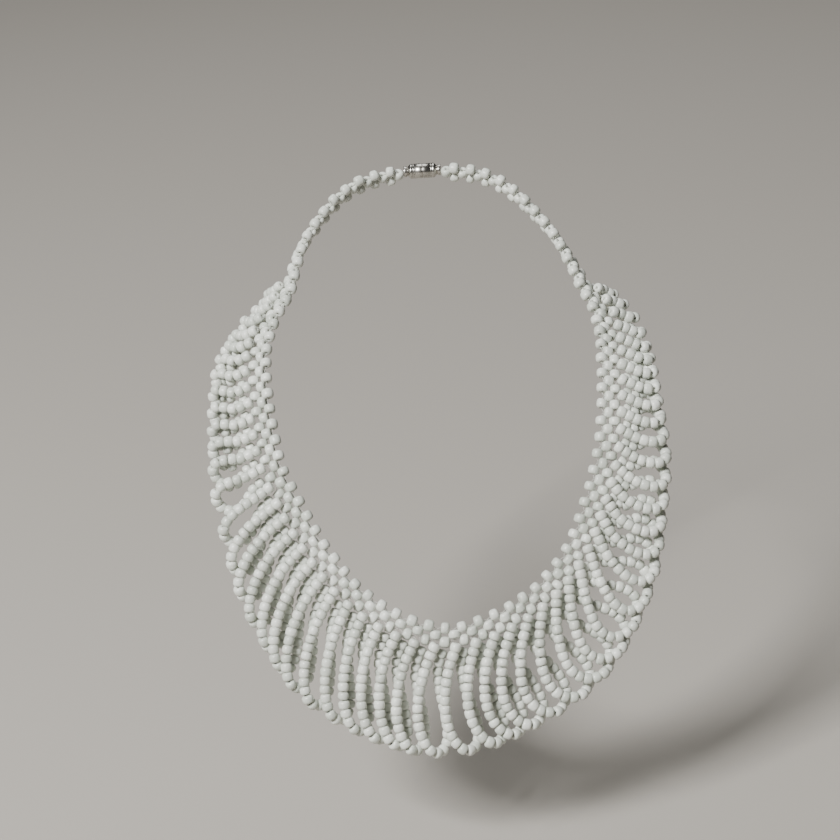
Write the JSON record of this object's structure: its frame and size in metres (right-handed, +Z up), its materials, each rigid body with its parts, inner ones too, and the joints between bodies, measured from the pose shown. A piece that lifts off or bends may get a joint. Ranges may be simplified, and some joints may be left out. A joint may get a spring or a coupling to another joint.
{
  "type": "beaded bib necklace",
  "caption": "Bib necklace of white glass seed beads: a netted collar band with a deep fringe of hanging beaded loops, closed by a barrel clasp behind the neck.",
  "frame": {"origin": "point of the nape that the inner bead row of the band seats on, in the necklace's middle plane", "axes": "+X to the wearer's left, -Y forwards where the wearer faces, +Z up"},
  "size_m": [0.1816, 0.1722, 0.189],
  "materials": {
    "band_beads": "opaque white, soft gloss",
    "fringe_beads": "opaque white, soft gloss",
    "nickel_plate": "nickel plate, polished"
  },
  "bodies": {
    "root": {"net_band": "band_beads", "loop_string_right_shoulder": "fringe_beads", "loop_string_right_chest": "fringe_beads", "loop_string_left_chest": "fringe_beads", "loop_string_left_shoulder": "fringe_beads", "barrel_clasp": "nickel_plate"}
  },
  "joints": []
}
